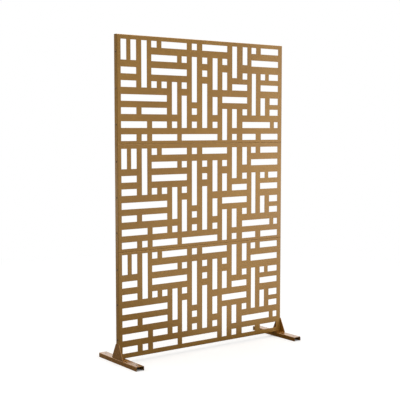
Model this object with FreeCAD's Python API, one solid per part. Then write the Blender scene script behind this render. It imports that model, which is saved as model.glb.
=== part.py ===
import FreeCAD, Part
import os

# A free-standing steel privacy screen. Three laser-cut steel trays of one size are stacked edge to edge,
# bolted together through their flanges, and stand on two channel feet with folded brackets.
# Millimetres, +Z up. X runs along the screen, and the slotted faces of the trays look towards -Y.
# The origin is on the floor, in the middle of the footprint.

Vector = FreeCAD.Vector

# Panels
panel_names = ("bottom", "middle", "top")
panel_width = 1200.0
panel_height = 600.0
panel_depth = 30.0
panel_sheet = 1.5
panel_bend_radius = 1.5

# Slot pattern of a panel: one letter is one slot, which covers every cell that the letter fills.
# On the bottom panel the whole pattern sits higher, which leaves a deeper border over the feet.
slot_map = (
    "abcdeeefggghijkkk",
    "abclllmnopqhirrrr",
    "sscttttnupvhwxyzz",
    "AAcBCDEnFpvGGxHHH",
    "IIIIIDJnFKLLLxMNN",
    "OOPPPDJQFKRSTxMUU",
    "VVVWWXJYFZRS00001",
    "2234445555R677888",
)
slot_size = 36.0
right_border = 33.5
row_top_shares = (0.0423, 0.1688, 0.2928, 0.4156, 0.5419, 0.6620, 0.7895, 0.9099)
column_left_shares = (
    0.0198, 0.0728, 0.1313, 0.1866, 0.2438, 0.3032, 0.3601, 0.4203, 0.4828,
    0.5464, 0.6069, 0.6693, 0.7360, 0.7935, 0.8550, 0.9133, 0.9468,
)
narrow_column = 15
narrow_column_width = 7.5
bottom_panel_rise = 10.0

# Slots that start or end off the grid, in multiples of a shift downwards or to the right
down_shift = 6.0
side_shift = 4.0
late_starts = {"v": 1, "w": 1, "x": 1, "y": 1, "z": 1, "F": 0.5, "K": 0.5, "M": 0.5, "N": 0.5}
late_ends = {"w": 1, "y": 1, "z": 1, "N": 1, "i": -1}
side_starts = {"x": 1, "N": 1, "U": 1, "W": 1, "4": 1, "8": 1, "z": -1}

# Holes down the middle of the left flange, from the top of the panel
side_hole_diameter = 8.0
side_hole_shares = (0.16, 0.49, 0.82)

# Feet: an upside-down channel each, open below and at both ends
foot_length = 400.0
foot_width = 50.0
foot_height = 25.0
foot_sheet = 2.0
foot_bend_radius = 1.5
foot_margin = 1.0
anchor_hole_diameter = 9.0
anchor_hole_inset = 35.0

# Brackets: a triangular cheek against the panel's side, folded into a tab between panel and foot
bracket_plate = 3.0
bracket_bend_radius = 2.0
bracket_base_width = 114.0
bracket_top_width = 36.0
bracket_height = 90.0
bracket_corner_radius = 4.0
tab_margin = 4.0

# Bolts and nuts, in the seams between panels and down through each foot
seam_names = ("lower", "upper")
bolt_diameter = 6.0
bolt_tail = 3.0
head_across_flats = 10.0
head_height = 4.0
nut_across_flats = 10.0
nut_height = 5.0
bolt_hole_clearance = 1.0
thread_clearance = 0.2

# Cutting tools run past what they cut by this much, and faces closer than this count as one plane
overrun = 5.0
same_plane = 0.01

# Places that follow from the sizes above
side_x = panel_width / 2
front_y = -panel_depth / 2
back_y = panel_depth / 2
stack_z = foot_height + bracket_plate
foot_outer_x = side_x + bracket_plate + foot_margin
foot_inner_x = foot_outer_x - foot_width
foot_middle_x = (foot_inner_x + foot_outer_x) / 2
bolt_hole_radius = (bolt_diameter + bolt_hole_clearance) / 2
bolt_places = (-foot_middle_x, 0, foot_middle_x)


def block(low, high):
    size = high - low
    return Part.makeBox(size.x, size.y, size.z, low)


def edges_where(shape, test):
    return [edge for edge in shape.Edges if all(test(vertex) for vertex in edge.Vertexes)]


def edges_along(edges, axis):
    return [edge for edge in edges if edge.tangentAt(edge.FirstParameter).cross(axis).Length < 0.5]


def upright_cutter(radius, x, y, low, high):
    return Part.makeCylinder(radius, high - low + 2 * overrun, Vector(x, y, low - overrun))


def slot_cells():
    """First and last row and column of each slot, by its letter."""
    cells = {}
    for row, letters in enumerate(slot_map):
        for column, letter in enumerate(letters):
            top, bottom, left, right = cells.get(letter, (row, row, column, column))
            cells[letter] = (min(top, row), max(bottom, row), min(left, column), max(right, column))
    return cells


def slot_cutters(rise):
    """One block per slot, through the face sheet of a panel that stands on Z = 0."""
    row_tops = [panel_height * (1 - share) + rise for share in row_top_shares]
    widths = [slot_size] * len(column_left_shares)
    widths[narrow_column] = narrow_column_width
    lefts = [share * panel_width - side_x for share in column_left_shares]
    widths[-1] = side_x - right_border - lefts[-1]
    cutters = []
    for letter, (top, bottom, first, last) in slot_cells().items():
        left = lefts[first] + side_starts.get(letter, 0) * side_shift
        right = lefts[last] + widths[last]
        high = row_tops[top] - late_starts.get(letter, 0) * down_shift
        low = row_tops[bottom] - slot_size - late_ends.get(letter, 0) * down_shift
        cutters.append(block(Vector(left, front_y - overrun, low), Vector(right, front_y + panel_sheet + overrun, high)))
    return cutters


def side_hole_cutters():
    """Round cutters through the left flange."""
    return [
        Part.makeCylinder(
            side_hole_diameter / 2,
            panel_sheet + 2 * overrun,
            Vector(-side_x - overrun, 0, panel_height * (1 - share)),
            Vector(1, 0, 0),
        )
        for share in side_hole_shares
    ]


def panel(rise):
    """A laser-cut sheet with four flanges folded backwards and welded at the corners, standing on Z = 0."""
    outer = block(Vector(-side_x, front_y, 0), Vector(side_x, back_y, panel_height))
    rim = edges_where(outer, lambda vertex: vertex.Y < front_y + same_plane)
    outer = outer.makeFillet(panel_bend_radius + panel_sheet, rim)
    inner_front = front_y + panel_sheet
    inner = block(
        Vector(-side_x + panel_sheet, inner_front, panel_sheet),
        Vector(side_x - panel_sheet, back_y + overrun, panel_height - panel_sheet),
    )
    rim = edges_where(inner, lambda vertex: vertex.Y < inner_front + same_plane)
    inner = inner.makeFillet(panel_bend_radius, rim)
    bolt_holes = [upright_cutter(bolt_hole_radius, x, 0, 0, panel_height) for x in bolt_places]
    return outer.cut([inner] + slot_cutters(rise) + side_hole_cutters() + bolt_holes)


def foot():
    """The right foot: a folded channel with a bolt hole in the middle and an anchor hole near each end."""
    half_length = foot_length / 2
    outer = block(Vector(foot_inner_x, -half_length, 0), Vector(foot_outer_x, half_length, foot_height))
    ridges = edges_where(outer, lambda vertex: vertex.Z > foot_height - same_plane)
    outer = outer.makeFillet(foot_bend_radius + foot_sheet, edges_along(ridges, Vector(0, 1, 0)))
    hollow_top = foot_height - foot_sheet
    inner = block(
        Vector(foot_inner_x + foot_sheet, -half_length - overrun, -overrun),
        Vector(foot_outer_x - foot_sheet, half_length + overrun, hollow_top),
    )
    ridges = edges_where(inner, lambda vertex: vertex.Z > hollow_top - same_plane)
    inner = inner.makeFillet(foot_bend_radius, edges_along(ridges, Vector(0, 1, 0)))
    anchor_y = half_length - anchor_hole_inset
    holes = [
        upright_cutter(anchor_hole_diameter / 2, foot_middle_x, -anchor_y, hollow_top, foot_height),
        upright_cutter(bolt_hole_radius, foot_middle_x, 0, hollow_top, foot_height),
        upright_cutter(anchor_hole_diameter / 2, foot_middle_x, anchor_y, hollow_top, foot_height),
    ]
    return outer.cut([inner] + holes)


def cheek_outline(x):
    """The bracket seen from the side: straight ends up to the fold, then a truncated triangle."""
    top_z = foot_height + bracket_height
    fold_z = stack_z + bracket_bend_radius
    half_base = bracket_base_width / 2
    half_top = bracket_top_width / 2
    left = [
        Vector(x, -half_top, top_z),
        Vector(x, -half_base, fold_z),
        Vector(x, -half_base, foot_height - overrun),
    ]
    right = [Vector(x, -point.y, point.z) for point in reversed(left)]
    return Part.Face(Part.makePolygon(left + right + left[:1]))


def bracket():
    """The right bracket: a plate folded to an L, with its cheek cut to a truncated triangle."""
    outer_x = side_x + bracket_plate
    tab_x = foot_inner_x + tab_margin
    top_z = foot_height + bracket_height
    half_base = bracket_base_width / 2
    outer = block(Vector(tab_x, -half_base, foot_height), Vector(outer_x, half_base, top_z))
    fold = edges_where(outer, lambda vertex: vertex.X > outer_x - same_plane and vertex.Z < foot_height + same_plane)
    outer = outer.makeFillet(bracket_bend_radius + bracket_plate, fold)
    inner = block(
        Vector(tab_x - overrun, -half_base - overrun, stack_z),
        Vector(side_x, half_base + overrun, top_z + overrun),
    )
    fold = edges_where(inner, lambda vertex: vertex.X > side_x - same_plane and vertex.Z < stack_z + same_plane)
    inner = inner.makeFillet(bracket_bend_radius, fold)
    cheek = cheek_outline(tab_x - overrun).extrude(Vector(outer_x - tab_x + 2 * overrun, 0, 0))
    plate = outer.cut(inner).common(cheek)
    top_corners = edges_along(edges_where(plate, lambda vertex: vertex.Z > top_z - same_plane), Vector(1, 0, 0))
    tab_corners = edges_along(edges_where(plate, lambda vertex: vertex.X < tab_x + same_plane), Vector(0, 0, 1))
    plate = plate.makeFillet(bracket_corner_radius, top_corners + tab_corners)
    return plate.cut(upright_cutter(bolt_hole_radius, foot_middle_x, 0, foot_height, stack_z))


def hexagon(across_flats, height, x, z):
    corner_radius = across_flats / 3 ** 0.5
    centre = Vector(x, 0, z)
    upright = Vector(0, 0, 1)
    points = []
    for corner in range(6):
        turn = FreeCAD.Rotation(upright, corner * 60)
        points.append(centre + turn.multVec(Vector(corner_radius, 0, 0)))
    return Part.Face(Part.makePolygon(points + points[:1])).extrude(Vector(0, 0, height))


def bolt_and_nut(x, seat_top, seat_bottom):
    """A bolt down through the sheets between two heights, and the nut that clamps them from below."""
    nut_z = seat_bottom - nut_height
    shank_z = nut_z - bolt_tail
    shank = Part.makeCylinder(bolt_diameter / 2, seat_top - shank_z, Vector(x, 0, shank_z))
    bolt = shank.fuse(hexagon(head_across_flats, head_height, x, seat_top)).removeSplitter()
    bore = upright_cutter((bolt_diameter + thread_clearance) / 2, x, 0, nut_z, seat_bottom)
    nut = hexagon(nut_across_flats, nut_height, x, nut_z).cut(bore)
    return bolt, nut


def export(name, shape):
    shape.exportStep("parts/" + name + ".step")
    print(name, len(shape.Solids), "solids", round(shape.Volume), "mm3")


def export_bolts(prefix, places, seat_top, seat_bottom):
    pairs = [bolt_and_nut(x, seat_top, seat_bottom) for x in places]
    export(prefix + "_bolts", Part.makeCompound([bolt for bolt, nut in pairs]))
    export(prefix + "_nuts", Part.makeCompound([nut for bolt, nut in pairs]))


def build():
    os.makedirs("parts", exist_ok=True)
    for index, name in enumerate(panel_names):
        placed = panel(bottom_panel_rise if name == "bottom" else 0)
        placed.translate(Vector(0, 0, stack_z + index * panel_height))
        export("panel_" + name, placed)
    for index, name in enumerate(seam_names):
        seam_z = stack_z + (index + 1) * panel_height
        export_bolts(name + "_seam", bolt_places, seam_z + panel_sheet, seam_z - panel_sheet)
    for kind, right in (("foot", foot()), ("bracket", bracket())):
        export(kind + "_right", right)
        export(kind + "_left", right.mirror(Vector(0, 0, 0), Vector(1, 0, 0)))
    export_bolts("foot", (-foot_middle_x, foot_middle_x), stack_z + panel_sheet, foot_height - foot_sheet)


build()
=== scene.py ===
import math

import bmesh
import bpy
from mathutils import Matrix, Vector


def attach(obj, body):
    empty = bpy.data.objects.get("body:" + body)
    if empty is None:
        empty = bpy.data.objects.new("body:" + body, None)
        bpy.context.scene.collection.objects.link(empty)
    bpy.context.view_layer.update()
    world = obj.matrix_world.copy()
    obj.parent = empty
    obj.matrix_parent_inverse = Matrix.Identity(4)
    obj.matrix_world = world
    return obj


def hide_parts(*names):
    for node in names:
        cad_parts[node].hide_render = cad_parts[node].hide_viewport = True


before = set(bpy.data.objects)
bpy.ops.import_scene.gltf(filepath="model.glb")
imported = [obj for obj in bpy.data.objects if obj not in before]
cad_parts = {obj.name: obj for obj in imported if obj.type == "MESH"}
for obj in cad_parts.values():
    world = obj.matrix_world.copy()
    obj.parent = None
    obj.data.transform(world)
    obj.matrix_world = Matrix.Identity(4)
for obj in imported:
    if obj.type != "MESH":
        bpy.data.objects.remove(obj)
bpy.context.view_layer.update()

# Two feet, each an upside-down channel of 2 mm steel sheet that the screen stands on.
# The blank is laser-cut flat with a ground-fixing hole near each end and a bolt hole in the middle,
# folded down along both long sides on a press brake, then powder coated.

# Sizes are in millimetres, and a piece turns to metres when it is put in its place
mm = 0.001
foot_length = 400
foot_width = 50
foot_height = 25
foot_sheet = 2
foot_bend_radius = 1.5
foot_middle_x = 579
anchor_hole_radius = 4.5
anchor_hole_y = 165
bolt_hole_radius = 3.5
hole_sides = 36

# The coat rounds every cut edge a little, and a fold is made in small steps
coat_rounding = 0.3
rounding_steps = 2
rim_angle = math.radians(57)
sharp_angle = math.radians(50)
fold_steps = 8
bend_tolerance = 0.0001


def ring_of(radius, x, y, count=hole_sides):
    turns = [2 * math.pi * step / count for step in range(count)]
    return [(x + radius * math.cos(turn), y + radius * math.sin(turn)) for turn in turns]


def cut_blank(outline, holes, thickness):
    """A flat sheet about its middle plane, with its cut edges rounded by the coat."""
    sheet = bmesh.new()
    for loop in [outline] + holes:
        corners = [sheet.verts.new((x, y, -thickness / 2)) for x, y in loop]
        for corner, following in zip(corners, corners[1:] + corners[:1]):
            sheet.edges.new((corner, following))
    bmesh.ops.triangle_fill(sheet, use_beauty=True, use_dissolve=False, edges=sheet.edges[:])
    grown = bmesh.ops.extrude_face_region(sheet, geom=sheet.faces[:])
    raised = [part for part in grown["geom"] if isinstance(part, bmesh.types.BMVert)]
    bmesh.ops.translate(sheet, verts=raised, vec=(0, 0, thickness))
    bmesh.ops.recalc_face_normals(sheet, faces=sheet.faces[:])
    rims = []
    for edge in sheet.edges:
        first, second = edge.verts
        lies_flat = abs(first.co.z - second.co.z) < thickness / 2
        if lies_flat and edge.calc_face_angle(0) > rim_angle:
            rims.append(edge)
    # The rounded edges take a piece's second material, a lighter copy of its coat: a painted highlight
    bmesh.ops.bevel(
        sheet, geom=rims, offset=coat_rounding, segments=rounding_steps, profile=0.5,
        affect="EDGES", clamp_overlap=False, material=1,
    )
    return sheet


def fold(sheet, flat, outward, outside, radius):
    """Bends what lies further out than the flat through a right angle, away from the outside."""
    outward, outside = Vector(outward), Vector(outside)
    start = outward * flat
    arc = radius * math.pi / 2
    for step in range(fold_steps + 1):
        everything = sheet.verts[:] + sheet.edges[:] + sheet.faces[:]
        line = start + outward * arc * step / fold_steps
        bmesh.ops.bisect_plane(
            sheet, geom=everything, dist=bend_tolerance, plane_co=line, plane_no=outward,
        )
    for corner in sheet.verts:
        past = (corner.co - start).dot(outward)
        if past > 0:
            turn = min(past / arc, 1) * math.pi / 2
            straight = max(past - arc, 0)
            off_middle = (corner.co - start).dot(outside)
            reach = radius + off_middle
            corner.co += outward * (reach * math.sin(turn) - past)
            corner.co += outside * (reach * math.cos(turn) - reach - straight)


def into_piece(shape, name, place, coats, node=None, mirrored=False):
    """Puts a shape in its place on the screen, as a piece that may stand for a CAD node."""
    mesh = bpy.data.meshes.new(name)
    shape.to_mesh(mesh)
    mesh.transform(place)
    if mirrored:
        mesh.transform(Matrix.Scale(-1, 4, (1, 0, 0)))
        mesh.flip_normals()
    mesh.transform(Matrix.Scale(mm, 4))
    mesh.shade_smooth()
    mesh.set_sharp_from_angle(angle=sharp_angle)
    for material in coats:
        mesh.materials.append(material)
    piece = bpy.data.objects.new(name, mesh)
    bpy.context.scene.collection.objects.link(piece)
    piece.modifiers.new("flat_faces_stay_flat", "WEIGHTED_NORMAL").keep_sharp = True
    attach(piece, "root")
    if node:
        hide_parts(node)


def into_pair(shape, place, name, node):
    """Puts a shape at the right end of the screen, and its mirror image at the left end."""
    for side in ("right", "left"):
        into_piece(
            shape, side + name, place, (stand_coat, stand_rim_highlight),
            node + side, mirrored=side == "left",
        )


class Shade:
    """A socket in a material's node tree that adds up and multiplies like a number."""

    def __init__(self, tree, socket=None):
        self.tree = tree
        self.socket = socket

    def make(self, kind, settings, inputs, output=0):
        node = self.tree.nodes.new("ShaderNode" + kind)
        for name, value in settings.items():
            setattr(node, name, value)
        for key, value in inputs.items():
            if isinstance(value, Shade):
                self.tree.links.new(value.socket, node.inputs[key])
            else:
                node.inputs[key].default_value = value
        return Shade(self.tree, node.outputs[output])

    def maths(self, operation, first, second):
        return self.make("Math", {"operation": operation}, {0: first, 1: second})

    def __add__(self, other):
        return self.maths("ADD", self, other)

    def __mul__(self, other):
        return self.maths("MULTIPLY", self, other)

    def __sub__(self, other):
        return self.maths("SUBTRACT", self, other)

    def __rsub__(self, other):
        return self.maths("SUBTRACT", other, self)

    __radd__ = __add__
    __rmul__ = __mul__

    def noise(self, scale, detail):
        return self.make("TexNoise", {}, {"Vector": self, "Scale": scale, "Detail": detail}, "Fac")

    def between(self, low, high):
        """This grey level spread so that low becomes 0 and high becomes 1."""
        return self.make("MapRange", {"clamp": True}, {0: self, 1: low, 2: high})

    def blend(self, first, second):
        """A colour that runs from first to second as this level runs from 0 to 1."""
        return self.make("Mix", {"data_type": "RGBA"}, {0: self, 6: first, 7: second}, 2)

    def along(self, direction):
        """How far this place or bearing reaches in a direction."""
        settings = {"operation": "DOT_PRODUCT"}
        return self.make("VectorMath", settings, {0: self, 1: direction}, "Value")


def colour(red, green, blue):
    """A colour as it looks on a screen, from 0 to 255, in the linear values that a shader takes."""
    levels = [value / 255 for value in (red, green, blue)]
    return (*[((level + 0.055) / 1.055) ** 2.4 for level in levels], 1)


# The coat's texture: each scale is about how many times it repeats in a metre
cloud_scale = 2.6
flake_scale = 1400
mark_scale = 38
peel_scale = 520
wave_scale = 150

# How far each one moves the tone from deep to light, and the roughness up or down
cloud_tone = 0.45
flake_tone = 0.40
mark_tone = 0.15
cloud_roughness = 0.05
mark_roughness = 0.08
flake_roughness = 0.04

# The orange peel's share of long waves, how strongly it shows, and its height in metres
wave_share = 0.6
peel_strength = 0.12
peel_height = 0.0004
clear_coat_roughness = 0.2


def powder_coat(name, deep, light, metallic, rough, coat=0.45):
    """Satin bronze powder coat: cloudy tone, fine metal flakes, orange peel and handling marks."""
    material = bpy.data.materials.new(name)
    material.use_nodes = True
    tree = material.node_tree
    surface = tree.nodes["Principled BSDF"]
    place = Shade(tree).make("TexCoord", {}, {}, "Object")
    cloud = place.noise(cloud_scale, 3).between(0.3, 0.7)
    flakes = place.noise(flake_scale, 1).between(0.35, 0.75)
    marks = place.noise(mark_scale, 5).between(0.52, 0.72)
    tone = (cloud * cloud_tone + flakes * flake_tone + marks * mark_tone).blend(deep, light)
    tree.links.new(tone.socket, surface.inputs["Base Color"])
    roughness = rough + cloud * cloud_roughness + marks * mark_roughness - flakes * flake_roughness
    tree.links.new(roughness.socket, surface.inputs["Roughness"])
    peel = place.noise(peel_scale, 2) + place.noise(wave_scale, 1) * wave_share
    bump = {"Strength": peel_strength, "Distance": peel_height, "Height": peel}
    normal = peel.make("Bump", {}, bump, "Normal")
    tree.links.new(normal.socket, surface.inputs["Normal"])
    surface.inputs["Metallic"].default_value = metallic
    surface.inputs["Coat Weight"].default_value = coat
    surface.inputs["Coat Roughness"].default_value = clear_coat_roughness
    return material


stand_coat = powder_coat(
    "stand_coat", colour(131, 85, 22), colour(157, 109, 36), metallic=0.45, rough=0.26, coat=0.5,
)
# The stand's rounded edges in a paler, lighter coat, a painted highlight along every edge
stand_rim_highlight = powder_coat(
    "stand_rim_highlight", colour(128, 93, 50), colour(168, 128, 78), metallic=0.55, rough=0.30,
)

foot_flat = foot_width / 2 - foot_bend_radius - foot_sheet
foot_radius = foot_bend_radius + foot_sheet / 2
foot_wall = foot_height - foot_bend_radius - foot_sheet
half_blank = foot_flat + foot_radius * math.pi / 2 + foot_wall
half_length = foot_length / 2
foot_outline = [
    (-half_blank, -half_length), (half_blank, -half_length),
    (half_blank, half_length), (-half_blank, half_length),
]
foot_holes = [
    ring_of(anchor_hole_radius, 0, -anchor_hole_y),
    ring_of(bolt_hole_radius, 0, 0),
    ring_of(anchor_hole_radius, 0, anchor_hole_y),
]
foot = cut_blank(foot_outline, foot_holes, foot_sheet)
fold(foot, foot_flat, (1, 0, 0), (0, 0, 1), foot_radius)
fold(foot, foot_flat, (-1, 0, 0), (0, 0, 1), foot_radius)
foot_place = Matrix.Translation((foot_middle_x, 0, foot_height - foot_sheet / 2))
into_pair(foot, foot_place, "_foot_channel", "foot_")

# Two brackets of 3 mm steel plate, one at each end of the screen.
# A triangular cheek with a cut-off top stands against the outside of the panel's side flange,
# and is folded at its base into a tab that is bolted between the panel and the foot.

bracket_plate = 3
bracket_bend_radius = 2
bracket_half_base = 57
bracket_half_top = 18
bracket_top_z = 115
bracket_corner_radius = 4
corner_steps = 6
tab_x = 558
side_x = 600


def rounded(corners):
    """The outline through corners (x, y, radius), each rounded where its radius isn't zero."""
    points = []
    for index, (x, y, radius) in enumerate(corners):
        here = Vector((x, y))
        to_last = (Vector(corners[index - 1][:2]) - here).normalized()
        to_next = (Vector(corners[(index + 1) % len(corners)][:2]) - here).normalized()
        half_angle = to_last.angle(to_next) / 2
        centre = here + (to_last + to_next).normalized() * radius / math.sin(half_angle)
        start = here + to_last * radius / math.tan(half_angle) - centre
        end = here + to_next * radius / math.tan(half_angle) - centre
        if radius:
            for step in range(corner_steps + 1):
                points.append((centre + start.slerp(end, step / corner_steps))[:])
        else:
            points.append((x, y))
    return points


bracket_radius = bracket_bend_radius + bracket_plate / 2
fold_x = side_x - bracket_bend_radius
cheek_x = fold_x + bracket_radius * math.pi / 2
cheek_height = bracket_top_z - foot_height - bracket_plate - bracket_bend_radius
bracket_outline = rounded([
    (tab_x, -bracket_half_base, bracket_corner_radius),
    (cheek_x, -bracket_half_base, 0),
    (cheek_x + cheek_height, -bracket_half_top, bracket_corner_radius),
    (cheek_x + cheek_height, bracket_half_top, bracket_corner_radius),
    (cheek_x, bracket_half_base, 0),
    (tab_x, bracket_half_base, bracket_corner_radius),
])
bracket_holes = [ring_of(bolt_hole_radius, foot_middle_x, 0)]
bracket = cut_blank(bracket_outline, bracket_holes, bracket_plate)
fold(bracket, fold_x, (1, 0, 0), (0, 0, -1), bracket_radius)
bracket_place = Matrix.Translation((0, 0, foot_height + bracket_plate / 2))
into_pair(bracket, bracket_place, "_bracket_plate", "bracket_")

# Three panels of 1.5 mm steel sheet, alike in size and stacked edge to edge.
# Each blank is laser-cut with 61 slots, and with round holes in what becomes its flanges;
# the four flanges are folded backwards, and their corners are welded and ground.

panel_names = ("bottom", "middle", "top")
panel_width = 1200
panel_height = 600
panel_depth = 30
panel_sheet = 1.5
panel_bend_radius = 1.5
weld_overlap = 0.5
weld_proud = 0.1
stack_z = foot_height + bracket_plate
side_hole_radius = 4
side_hole_shares = (0.16, 0.49, 0.82)
seam_bolts_x = (-foot_middle_x, 0, foot_middle_x)

panel_radius = panel_bend_radius + panel_sheet / 2
bend_line = panel_bend_radius + panel_sheet
panel_arc = panel_radius * math.pi / 2
flange = panel_arc + panel_depth - bend_line
flange_middle = panel_arc + panel_depth / 2 - bend_line
flat_x = panel_width / 2 - bend_line
flat_y = panel_height / 2 - bend_line

# One letter is one slot, which covers every cell that the letter fills.
# On the bottom panel the whole pattern sits higher, which leaves a deeper border over the feet.
slot_map = (
    "abcdeeefggghijkkk",
    "abclllmnopqhirrrr",
    "sscttttnupvhwxyzz",
    "AAcBCDEnFpvGGxHHH",
    "IIIIIDJnFKLLLxMNN",
    "OOPPPDJQFKRSTxMUU",
    "VVVWWXJYFZRS00001",
    "2234445555R677888",
)
slot_size = 36
right_border = 33.5
row_top_shares = (0.0423, 0.1688, 0.2928, 0.4156, 0.5419, 0.6620, 0.7895, 0.9099)
column_left_shares = (
    0.0198, 0.0728, 0.1313, 0.1866, 0.2438, 0.3032, 0.3601, 0.4203, 0.4828,
    0.5464, 0.6069, 0.6693, 0.7360, 0.7935, 0.8550, 0.9133, 0.9468,
)
narrow_column = 15
narrow_column_width = 7.5
bottom_panel_rise = 10

# Slots that start or end off the grid, in multiples of a shift downwards or to the right
down_shift = 6
side_shift = 4
late_starts = {"v": 1, "w": 1, "x": 1, "y": 1, "z": 1, "F": 0.5, "K": 0.5, "M": 0.5, "N": 0.5}
late_ends = {"w": 1, "y": 1, "z": 1, "N": 1, "i": -1}
side_starts = {"x": 1, "N": 1, "U": 1, "W": 1, "4": 1, "8": 1, "z": -1}


def panel_slots(rise):
    """The rectangle of each slot, about the middle of the face sheet."""
    row_tops = [panel_height * (0.5 - share) + rise for share in row_top_shares]
    lefts = [share * panel_width - panel_width / 2 for share in column_left_shares]
    widths = [slot_size] * len(lefts)
    widths[narrow_column] = narrow_column_width
    widths[-1] = panel_width / 2 - right_border - lefts[-1]
    slots = []
    for letter in sorted(set("".join(slot_map))):
        rows = [row for row, letters in enumerate(slot_map) if letter in letters]
        first_column = slot_map[rows[0]].index(letter)
        last_column = slot_map[rows[0]].rindex(letter)
        left = lefts[first_column] + side_starts.get(letter, 0) * side_shift
        right = lefts[last_column] + widths[last_column]
        high = row_tops[rows[0]] - late_starts.get(letter, 0) * down_shift
        low = row_tops[rows[-1]] - slot_size - late_ends.get(letter, 0) * down_shift
        slots.append([(left, low), (left, high), (right, high), (right, low)])
    return slots


def weld_corner(shape, x_sign, y_sign):
    """Closes a corner of the panel where two flanges meet, with a weld that is ground nearly flush."""
    rim_level = weld_proud + panel_sheet / 2 - panel_depth
    shells = []
    for radius in (bend_line + weld_proud, panel_bend_radius - weld_proud):
        rows = []
        for step in range(-1, fold_steps + 1):
            turn = max(math.pi / 2 * step / fold_steps, 0)
            out = radius * math.cos(turn)
            level = rim_level if step < 0 else radius * math.sin(turn) - panel_radius
            row = []
            for x, y in ((-weld_overlap, out), (out, out), (out, -weld_overlap)):
                row.append(shape.verts.new((x_sign * (flat_x + x), y_sign * (flat_y + y), level)))
            rows.append(row)
        shells.append(rows)
    outer, inner = shells
    patches = []
    for rows in shells:
        for first, second in zip(rows, rows[1:]):
            for side in (0, 1):
                patches.append((first[side], first[side + 1], second[side + 1], second[side]))
    for first, second, inner_first, inner_second in zip(outer, outer[1:], inner, inner[1:]):
        for side in (0, 2):
            patches.append((first[side], second[side], inner_second[side], inner_first[side]))
    for row, inner_row in ((outer[0], inner[0]), (outer[-1], inner[-1])):
        for side in (0, 1):
            patches.append((row[side], row[side + 1], inner_row[side + 1], inner_row[side]))
    weld = [shape.faces.new(patch) for patch in patches]
    bmesh.ops.recalc_face_normals(shape, faces=weld)


panel_coat = powder_coat(
    "panel_coat", colour(138, 98, 38), colour(166, 124, 52), metallic=0.45, rough=0.36,
)
# The panel's rounded edges in a paler, lighter coat, a painted highlight round every slot and fold
panel_rim_highlight = powder_coat(
    "panel_rim_highlight", colour(150, 112, 64), colour(192, 152, 100), metallic=0.55, rough=0.30,
)

quarter = [(flat_x + flange, flat_y), (flat_x, flat_y), (flat_x, flat_y + flange)]
upper = quarter + [(-x, y) for x, y in reversed(quarter)]
panel_outline = upper + [(x, -y) for x, y in reversed(upper)]
panel_holes = [
    ring_of(side_hole_radius, -flat_x - flange_middle, panel_height * (0.5 - share))
    for share in side_hole_shares
]
for bolt_x in seam_bolts_x:
    for edge_sign in (-1, 1):
        panel_holes.append(ring_of(bolt_hole_radius, bolt_x, edge_sign * (flat_y + flange_middle)))
face_y = (panel_sheet - panel_depth) / 2
for index, name in enumerate(panel_names):
    slots = panel_slots(bottom_panel_rise if name == "bottom" else 0)
    panel = cut_blank(panel_outline, slots + panel_holes, panel_sheet)
    fold(panel, flat_x, (1, 0, 0), (0, 0, 1), panel_radius)
    fold(panel, flat_x, (-1, 0, 0), (0, 0, 1), panel_radius)
    fold(panel, flat_y, (0, 1, 0), (0, 0, 1), panel_radius)
    fold(panel, flat_y, (0, -1, 0), (0, 0, 1), panel_radius)
    for x_sign in (-1, 1):
        for y_sign in (-1, 1):
            weld_corner(panel, x_sign, y_sign)
    middle_z = stack_z + (index + 0.5) * panel_height
    panel_place = Matrix.Translation((0, face_y, middle_z)) @ Matrix.Rotation(math.pi / 2, 4, "X")
    into_piece(
        panel, name + "_slotted_panel", panel_place, (panel_coat, panel_rim_highlight),
        "panel_" + name,
    )

# Hexagon bolts and nuts of size M6, in dark bronze: three in each seam between two panels,
# down through both flanges, and one through each foot, its bracket's tab and the bottom flange.
# Heads and nuts have the chamfered corners of turned hexagon bar, and the shanks are threaded.

across_flats = 10
head_height = 4
nut_height = 5
nut_clearance = 0.1
bolt_radius = 3
bolt_tail = 3
thread_pitch = 1
thread_depth = 0.5
crest_start = 0.4
crest_end = 0.6
chamfer_radius = 4.75
chamfer_angle = math.pi / 6
washer_face = 0.4
fastener_sides = 48


def hexagon_rings(low, high, chamfer_low, chamfer_high):
    """Rings up the side of a hexagon, whose corners are chamfered at the ends that say so."""
    turns = [2 * math.pi * step / fastener_sides for step in range(fastener_sides)]
    reaches = [across_flats / 2 / math.cos(turn % (math.pi / 3) - math.pi / 6) for turn in turns]
    drops = [max(reach - chamfer_radius, 0) * math.tan(chamfer_angle) for reach in reaches]
    rings = []
    for level, share in ((low, chamfer_low), (high, -chamfer_high)):
        rings.append([
            (reach * math.cos(turn), reach * math.sin(turn), level + drop * share)
            for turn, reach, drop in zip(turns, reaches, drops)
        ])
    return rings


def round_ring(radius, level):
    return [(x, y, level) for x, y in ring_of(radius, 0, 0, fastener_sides)]


def stack_rings(shape, rings, x, closed=False):
    """Joins rings of points into walls round an upright line, with a lid at both ends unless closed."""
    loops = [[shape.verts.new((px + x, py, pz)) for px, py, pz in ring] for ring in rings]
    following = loops[1:] + loops[:1] if closed else loops[1:]
    for lower, higher in zip(loops, following):
        for step in range(len(lower)):
            after = (step + 1) % len(lower)
            shape.faces.new((lower[step], lower[after], higher[after], higher[step]))
    if not closed:
        shape.faces.new(list(reversed(loops[0])))
        shape.faces.new(loops[-1])


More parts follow.
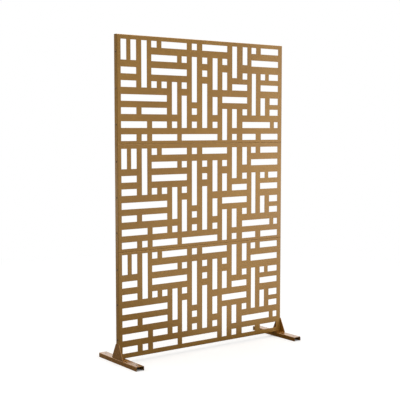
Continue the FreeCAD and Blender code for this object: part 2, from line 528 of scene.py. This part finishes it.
def add_bolt(shape, x, seat_top, seat_bottom):
    """A threaded shank from below the nut up to a hexagon head that sits on the sheets."""
    tip = seat_bottom - nut_height - bolt_tail
    rings = [round_ring(bolt_radius - 2 * thread_depth, tip)]
    level = tip + thread_depth
    while level < seat_top - thread_pitch:
        rings.append(round_ring(bolt_radius - thread_depth, level))
        rings.append(round_ring(bolt_radius, level + crest_start * thread_pitch))
        rings.append(round_ring(bolt_radius, level + crest_end * thread_pitch))
        level += thread_pitch
    rings.append(round_ring(bolt_radius - thread_depth, level))
    rings.append(round_ring(bolt_radius, seat_top))
    rings.append(round_ring(chamfer_radius, seat_top))
    rings.append(round_ring(chamfer_radius, seat_top + washer_face))
    rings += hexagon_rings(seat_top + washer_face, seat_top + head_height, 0, 1)
    rings.append(round_ring(chamfer_radius, seat_top + head_height))
    stack_rings(shape, rings, x)


def add_nut(shape, x, seat_bottom):
    """A hexagon nut under the sheets, with a bore that is countersunk at both ends."""
    low = seat_bottom - nut_height
    rings = [round_ring(bolt_radius + thread_depth, low), round_ring(chamfer_radius, low)]
    rings += hexagon_rings(low, seat_bottom, 1, 1)
    rings.append(round_ring(chamfer_radius, seat_bottom))
    rings.append(round_ring(bolt_radius + thread_depth, seat_bottom))
    rings.append(round_ring(bolt_radius + nut_clearance, seat_bottom - thread_depth))
    rings.append(round_ring(bolt_radius + nut_clearance, low + thread_depth))
    stack_rings(shape, rings, x, closed=True)


fastener_coat = powder_coat(
    "fastener_coat", colour(84, 60, 34), colour(120, 92, 58), metallic=0.7, rough=0.32,
)
lower_seam_z = stack_z + panel_height
upper_seam_z = stack_z + 2 * panel_height
bolted_places = (
    ("lower_seam", seam_bolts_x, lower_seam_z + panel_sheet, lower_seam_z - panel_sheet),
    ("upper_seam", seam_bolts_x, upper_seam_z + panel_sheet, upper_seam_z - panel_sheet),
    ("foot", (-foot_middle_x, foot_middle_x), stack_z + panel_sheet, foot_height - foot_sheet),
)
for bolted_place, bolts_x, seat_top, seat_bottom in bolted_places:
    bolts = bmesh.new()
    nuts = bmesh.new()
    for bolt_x in bolts_x:
        add_bolt(bolts, bolt_x, seat_top, seat_bottom)
        add_nut(nuts, bolt_x, seat_bottom)
    for kind, shape in (("bolts", bolts), ("nuts", nuts)):
        bmesh.ops.recalc_face_normals(shape, faces=shape.faces[:])
        into_piece(
            shape, bolted_place + "_hexagon_" + kind, Matrix.Identity(4), (fastener_coat,),
            bolted_place + "_" + kind,
        )

# Nine blind caps in dark bronze, pressed into the round holes down the screen's left flanges.
# Each has a shallow domed head against the outside of the flange, and a hollow shank behind it.
# They shut the holes while nothing is bolted on there, and are levered out for that.

cap_radius = 6
cap_proud = 1.4
cap_edge = 0.4
cap_crown_radius = 0.5
cap_shank_radius = 3.9
cap_bore_radius = 3
cap_reach = 6
dome_steps = 6

cap_rings = [
    round_ring(cap_bore_radius, 0),
    round_ring(cap_bore_radius, -cap_reach),
    round_ring(cap_shank_radius - cap_edge, -cap_reach),
    round_ring(cap_shank_radius, cap_edge - cap_reach),
    round_ring(cap_shank_radius, 0),
    round_ring(cap_radius, 0),
]
for dome_step in range(dome_steps + 1):
    inward = dome_step / dome_steps
    dome_radius = cap_radius + (cap_crown_radius - cap_radius) * inward
    dome_height = (cap_proud - cap_edge) * math.sqrt(1 - (1 - inward) ** 2)
    cap_rings.append(round_ring(dome_radius, cap_edge + dome_height))
cap = bmesh.new()
stack_rings(cap, cap_rings, 0)
bmesh.ops.recalc_face_normals(cap, faces=cap.faces[:])
outwards = Matrix.Rotation(-math.pi / 2, 4, "Y")
for index, name in enumerate(panel_names):
    for share, height_name in zip(side_hole_shares, ("high", "centre", "low")):
        hole_place = Matrix.Translation((-side_x, 0, stack_z + panel_height * (index + 1 - share)))
        into_piece(
            cap, name + "_" + height_name + "_hole_cap", hole_place @ outwards,
            (fastener_coat,),
        )

# The studio: a pale matt floor that fades to plain white away from the screen, in a soft white room.
# A large soft lamp stands in front on the right, a second one in front, and a fill lamp behind on the left.
# What the coat mirrors is bright behind the screen, on its right and overhead, and dim elsewhere.

floor_half = 30
floor_mesh = bpy.data.meshes.new("studio_floor")
floor_corners = [
    (-floor_half, -floor_half, 0), (floor_half, -floor_half, 0),
    (floor_half, floor_half, 0), (-floor_half, floor_half, 0),
]
floor_mesh.from_pydata(floor_corners, [], [(0, 1, 2, 3)])
floor = bpy.data.objects.new("studio_floor", floor_mesh)
bpy.context.scene.collection.objects.link(floor)

behind = (0.594, 0.80, 0)
lit_side = (0.80, -0.60, 0)
in_front = (0, -1, 0)
black = (0, 0, 0, 1)
white = (1, 1, 1, 1)
floor_glow = 0.6
side_glow = 1.7
mirrored_dimming = 0.6
shade_dimming = 0.38
contact_reach = 0.1

floor_paint = bpy.data.materials.new("floor_paint")
floor_paint.use_nodes = True
floor_tree = floor_paint.node_tree
floor_surface = floor_tree.nodes["Principled BSDF"]
floor_surface.inputs["Roughness"].default_value = 0.9
floor_surface.inputs["Specular IOR Level"].default_value = 0.1
floor_surface.inputs["Emission Strength"].default_value = floor_glow
floor_place = Shade(floor_tree).make("TexCoord", {}, {}, "Object")
seen = Shade(floor_tree).make("LightPath", {}, {}, "Is Camera Ray")
glossed = Shade(floor_tree).make("LightPath", {}, {}, "Is Glossy Ray")

# Where a place on the floor lies: far behind the screen, in front, or under the painted shade at its right
# end
backdrop = floor_place.along(behind).between(1, 3)
ahead = floor_place.along(in_front)
shaded = floor_place.along((1, 0, 0)).between(-0.2, 0.4) * (1 - ahead.between(0.15, 0.4))
bearing = floor_place.make("VectorMath", {"operation": "NORMALIZE"}, {0: floor_place}, "Vector")
beside = bearing.along(lit_side).between(0.7, 1) * ahead.between(0.2, 0.5)

# The floor's own tone, which the coat mirrors darker near the screen and darker still at its right end:
# painted shade in reflections
floor_tone = floor_place.noise(1.5, 3).blend(colour(186, 185, 183), colour(194, 193, 191))
shown = 1 - glossed * (1 - backdrop) * (mirrored_dimming + shaded * shade_dimming)
floor_colour = shown.blend(black, floor_tone)
floor_tree.links.new(floor_colour.socket, floor_surface.inputs["Base Color"])

# The glow that makes the floor white to the eye, held back in corners close to a piece as painted contact
# shade; for the coat it also glows in a patch in front on the right, a painted light that is no lamp
open_air = Shade(floor_tree).make("AmbientOcclusion", {}, {"Distance": contact_reach}, "AO")
glow = (seen + glossed * (backdrop + beside * side_glow)) * open_air.between(0.1, 0.6)
floor_tree.links.new(glow.socket, floor_surface.inputs["Emission Color"])

# The fade to plain white far from the screen
away = floor_place.make("VectorMath", {"operation": "LENGTH"}, {0: floor_place}, "Value")
plain_white = away.make("Emission", {}, {"Color": white, "Strength": 1})
fade = (seen + glossed * backdrop) * away.between(1.6, 4)
painted = Shade(floor_tree, floor_surface.outputs[0])
floor_mix = fade.make("MixShader", {}, {0: fade, 1: painted, 2: plain_white})
floor_tree.links.new(floor_mix.socket, floor_tree.nodes["Material Output"].inputs["Surface"])
floor_mesh.materials.append(floor_paint)

# The room: plain white to the eye, soft light on matt surfaces, and bright walls in what the coat mirrors
wall_glow = 0.9
side_wall_glow = 0.5
ceiling_glow = 1.8
zenith_glow = 1.4
dim_glow = 0.1
level_light = 0.42
upper_light = 0.5

world = bpy.data.worlds.new("studio_light")
world.use_nodes = True
bpy.context.scene.world = world
sky = world.node_tree
background = sky.nodes["Background"]
camera_ray = Shade(sky).make("LightPath", {}, {}, "Is Camera Ray")
glossy_ray = Shade(sky).make("LightPath", {}, {}, "Is Glossy Ray")
clear_ray = Shade(sky).make("LightPath", {}, {}, "Is Transmission Ray")
gaze = Shade(sky).make("TexCoord", {}, {}, "Generated")
height = gaze.along((0, 0, 1))
walls = gaze.along(behind).between(0.4, 0.9) * wall_glow
walls = walls + gaze.along(lit_side).between(0.6, 1) * side_wall_glow
overhead = height.between(0.2, 0.7) * ceiling_glow + height.between(0.35, 0.8) * zenith_glow
mirrored_room = glossy_ray * (walls + overhead + dim_glow)
soft_light = (1 - glossy_ray) * (height.between(0, 1) * upper_light + level_light)
plain = (camera_ray + clear_ray).between(0, 1)
room_light = plain + (1 - plain) * (mirrored_room + soft_light)
sky.links.new(room_light.socket, background.inputs["Strength"])
background.inputs["Color"].default_value = white


def soft_lamp(name, power, size, place, target, reflected=True):
    """A square soft lamp that faces its target, and that the coat may mirror or not."""
    lamp = bpy.data.lights.new(name, "AREA")
    lamp.shape = "SQUARE"
    lamp.energy = power
    lamp.size = size
    holder = bpy.data.objects.new(name, lamp)
    holder.location = place
    towards = Vector(target) - Vector(place)
    holder.rotation_euler = towards.to_track_quat("-Z", "Y").to_euler()
    holder.visible_glossy = reflected
    bpy.context.scene.collection.objects.link(holder)


soft_lamp("right_softbox", 27.5, 2.6, (4.0, -2.4, 1.3), (0, 0, 0.8))
soft_lamp("front_key", 40, 2, (0.8, -3.8, 1.2), (0, 0, 0.4), reflected=False)
soft_lamp("left_fill", 29, 2, (-3.4, 1.4, 1.6), (-0.6, 0, 0.9), reflected=False)

# The camera stands where the photograph was taken from, in front of the screen on its left
# and at chest height, as found from the screen's own edges and seams.

camera_place = (-3.1386, -4.1915, 1.3105)
camera_aim = Vector((0.5942, 0.8003, -0.0795))
camera_data = bpy.data.cameras.new("photo_camera")
camera_data.lens = 79.82
camera_data.sensor_width = 36
camera = bpy.data.objects.new("photo_camera", camera_data)
camera.location = camera_place
camera.rotation_euler = camera_aim.to_track_quat("-Z", "Y").to_euler()
bpy.context.scene.collection.objects.link(camera)
bpy.context.scene.camera = camera
bpy.context.scene.view_settings.view_transform = "Standard"
